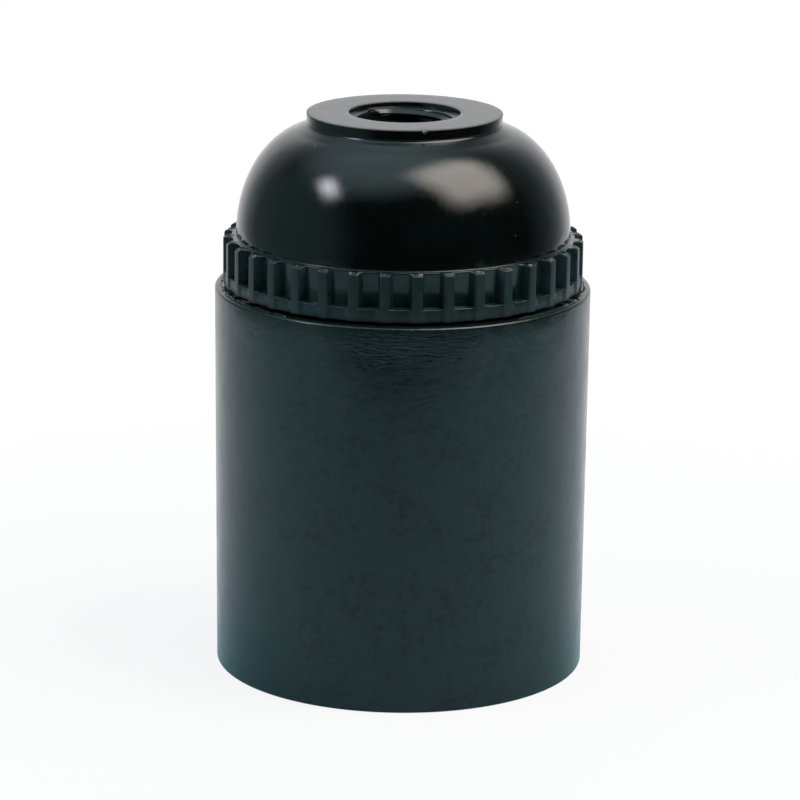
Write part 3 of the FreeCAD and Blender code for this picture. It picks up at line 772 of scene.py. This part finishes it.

# %% [markdown]
# ## Bench and light
# Black plastic is drawn by what it mirrors, so the bench and the room matter more than the lamps do. The
# holder stands on a small white card. What the sleeve mirrors of it is mostly a painted reflection: the card
# glows there in a painted shade that is blue-grey in front, as if the dark room shaded it, and grows pale
# towards the back. The card ends 15 cm in front of the holder, and from below it is clear, so that the
# underside can be looked at.

# %% The card
card_front, card_back, card_side, card_share = -0.151, 0.21, 0.19, 0.75
shade_near, shade_far, shade_level = 0.03, 0.12, 0.86
empty_hands()
bpy.ops.mesh.primitive_plane_add(size=1, location=(0, (card_front + card_back) / 2, 0))
sheet = bpy.context.object
sheet.name, sheet.scale = "bench_card", (2 * card_side, card_back - card_front, 1.0)
bpy.ops.object.transform_apply(location=True, rotation=True, scale=True)
mat, tree, shader = new_material("white_card", Roughness=0.9)
shader.inputs["Base Color"].default_value = linear("#EEF1F2")
at = on_piece(tree)
round_about = add(tree, "ShaderNodeVectorMath", {0: at}, operation="NORMALIZE").outputs["Vector"]
back = add(tree, "ShaderNodeSeparateXYZ", {"Vector": round_about}).outputs["Y"]
turn = add(tree, "ShaderNodeMapRange", {"Value": back, "From Min": -1.0, "From Max": 1.0}).outputs["Result"]
# Painted reflection and shade: the colours the card glows with in mirrored rays, blue-grey in front, white at
# the back.
bright = ramp(tree, turn, [(0.0, "#528E9E"), (0.30, "#7CBAC7"), (0.62, "#BCDCEA"), (0.83, "#E4ECF6"),
                           (0.95, "#FFFFFF")])
path = add(tree, "ShaderNodeLightPath").outputs
mirrored = add(tree, "ShaderNodeMath", {0: path["Is Glossy Ray"], 1: path["Is Transmission Ray"]},
               operation="MAXIMUM").outputs["Value"]
far = add(tree, "ShaderNodeVectorMath", {0: at}, operation="LENGTH").outputs["Value"]
fade = add(tree, "ShaderNodeMapRange", {"Value": far, "From Min": shade_near, "From Max": shade_far,
                                        "To Min": shade_level, "To Max": 1.0},
           interpolation_type="SMOOTHSTEP").outputs["Result"]
seen = add(tree, "ShaderNodeMath", {0: path["Is Camera Ray"], 1: fade}, operation="MULTIPLY").outputs["Value"]
share = add(tree, "ShaderNodeMath", {0: mirrored, 1: card_share, 2: seen}, operation="MULTIPLY_ADD")
glow = add(tree, "ShaderNodeMixRGB", {"Fac": path["Is Camera Ray"], "Color1": bright, "Color2": (1, 1, 1, 1)})
white = add(tree, "ShaderNodeEmission", {"Color": glow.outputs["Color"], "Strength": 1.0}).outputs["Emission"]
lit = add(tree, "ShaderNodeMixShader", {"Fac": share.outputs["Value"], 1: shader.outputs["BSDF"], 2: white})
below = add(tree, "ShaderNodeNewGeometry").outputs["Backfacing"]
clear = add(tree, "ShaderNodeBsdfTransparent").outputs["BSDF"]
shown = add(tree, "ShaderNodeMixShader", {"Fac": below, 1: lit.outputs["Shader"], 2: clear}).outputs["Shader"]
tree.links.new(shown, tree.nodes["Material Output"].inputs["Surface"])
dress(sheet, mat)
sheet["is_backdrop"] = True
print("card", round(2 * card_side, 2), "by", round(card_back - card_front, 2), "m")

# %% [markdown]
# The room is bright behind the holder, pale blue overhead with that patch leaning to the left, dark in front
# of it, and a faint window stands on the left. The camera itself sees only white. The wall behind lights
# both edges of the dome and the ground face.

# %% The room
world = bpy.data.worlds.new("studio")
bpy.context.scene.world = world
world.use_nodes = True
tree = world.node_tree
direction = add(tree, "ShaderNodeTexCoord").outputs["Generated"]
split = add(tree, "ShaderNodeSeparateXYZ", {"Vector": direction})
behind = add(tree, "ShaderNodeMapRange", {"Value": split.outputs["Y"], "From Min": 0.0, "From Max": 1.0})
wall = ramp(tree, behind.outputs["Result"], [(0.1, "#14181A"), (0.5, "#666C70"), (0.71, "#9CA9B1"),
                                             (0.87, "#EEEFF1"), (1.0, "#FFFFFF")])
left = add(tree, "ShaderNodeMapRange", {"Value": split.outputs["X"], "From Min": -0.46, "From Max": -0.9},
           interpolation_type="SMOOTHSTEP").outputs["Result"]
window = add(tree, "ShaderNodeMixRGB", {"Fac": left, "Color1": (0, 0, 0, 1), "Color2": linear("#65807F")})
sides = add(tree, "ShaderNodeMixRGB", {"Fac": 1.0, "Color1": wall, "Color2": window.outputs["Color"]},
            blend_type="LIGHTEN").outputs["Color"]
overhead = (-0.17, 0.0, 0.985)
upward = add(tree, "ShaderNodeVectorMath", {0: direction, 1: overhead}, operation="DOT_PRODUCT")
above = add(tree, "ShaderNodeMapRange", {"Value": upward.outputs["Value"], "From Min": 0.66, "From Max": 1.0},
            interpolation_type="SMOOTHSTEP").outputs["Result"]
sky = add(tree, "ShaderNodeMixRGB", {"Fac": above, "Color1": sides, "Color2": linear("#D2F0FA")})
path = add(tree, "ShaderNodeLightPath").outputs
room = add(tree, "ShaderNodeMixRGB", {"Fac": path["Is Camera Ray"], "Color1": sky.outputs["Color"],
                                      "Color2": (1, 1, 1, 1)})
tree.links.new(room.outputs["Color"], tree.nodes["Background"].inputs["Color"])
tree.nodes["Background"].inputs["Strength"].default_value = 1.0
print("room of", len(tree.nodes), "nodes")

# %% [markdown]
# Two soft boxes put the large and the small highlight on the dome. The cloth of a soft box is brightest in
# its middle, so each lamp's strength falls off towards its edge, by the lamp's own flat coordinates.

# %% Soft boxes
dome_middle = Vector((0, 0, 0.052))


def soft_box(name, azimuth, elevation, roll, distance, width, height, power, colour, core):
    """Area light aimed at the dome; azimuth runs from the front towards +X, core is the evenly lit share."""
    a, e = math.radians(azimuth), math.radians(elevation)
    away = Vector((math.sin(a) * math.cos(e), -math.cos(a) * math.cos(e), math.sin(e)))
    light = bpy.data.lights.new(name, "AREA")
    light.shape, light.size, light.size_y = "RECTANGLE", width, height
    light.energy, light.color = power, linear(colour)[:3]
    light.use_nodes = True
    tree = light.node_tree
    spot = add(tree, "ShaderNodeNewGeometry").outputs["Parametric"]
    centred = add(tree, "ShaderNodeMapping", {"Vector": spot, "Location": (-1, -1, 0), "Scale": (2, 2, 0)})
    parts = add(tree, "ShaderNodeSeparateXYZ", {"Vector": centred.outputs["Vector"]}).outputs
    falls = []
    for axis in "XY":
        out = add(tree, "ShaderNodeMath", {0: parts[axis]}, operation="ABSOLUTE").outputs["Value"]
        fall = add(tree, "ShaderNodeMapRange", {"Value": out, "From Min": core, "From Max": 1.0,
                                                "To Min": 1.0, "To Max": 0.0},
                   interpolation_type="SMOOTHSTEP")
        falls.append(fall.outputs["Result"])
    both = add(tree, "ShaderNodeMath", {0: falls[0], 1: falls[1]}, operation="MULTIPLY").outputs["Value"]
    tree.links.new(both, tree.nodes["Emission"].inputs["Strength"])
    lamp = bpy.data.objects.new(name, light)
    lamp.location = dome_middle + away * distance
    lamp.rotation_mode = "QUATERNION"
    lamp.rotation_quaternion = away.to_track_quat("Z", "Y") @ Quaternion((0, 0, 1), math.radians(roll))
    bpy.context.collection.objects.link(lamp)
    print(name, power, "W at", [round(c, 2) for c in lamp.location])


soft_box("large_soft_box", azimuth=70, elevation=56.2, roll=-8.8, distance=0.45, width=0.54, height=0.56,
         power=4.5, colour="#FFF6EC", core=0.3)
soft_box("small_soft_box", azimuth=-70.7, elevation=42.2, roll=-32.6, distance=0.6, width=0.36, height=0.20,
         power=2.3, colour="#F4F2FF", core=0.0)

# %% [markdown]
# The camera stands some 0.4 m in front of the holder, fifteen degrees above its middle, with a long lens
# that keeps the sleeve's sides nearly parallel.

# %% The camera
target = Vector((-0.155, 0, 28.59)) * MM
distance, elevation, tilt = 418.85 * MM, math.radians(14.957), math.radians(0.65)
camera_data = bpy.data.cameras.new("camera")
camera_data.sensor_width, camera_data.lens, camera_data.clip_start = 36, 175.45, 0.01
camera = bpy.data.objects.new("camera", camera_data)
camera.location = target + Vector((0, -math.cos(elevation), math.sin(elevation))) * distance
camera.rotation_mode = "QUATERNION"
looking = (target - camera.location).to_track_quat("-Z", "Y")
camera.rotation_quaternion = looking @ Quaternion((0, 0, 1), tilt)
bpy.context.collection.objects.link(camera)
bpy.context.scene.camera = camera
bpy.context.scene.view_settings.view_transform = "Standard"
print("camera at", [round(c, 3) for c in camera.location])

# %% [markdown]
# ## The dressed holder's box is measured, and so is the box of its construction.
# The dressed holder has to fill the box of its construction and stay inside it, so both are measured.

# %% Compare the dressed holder with its construction
size_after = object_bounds()
before, after = (high - low for low, high in (size_before, size_after))
print("grown by", [round((a - b) / MM, 3) for a, b in zip(after, before)])
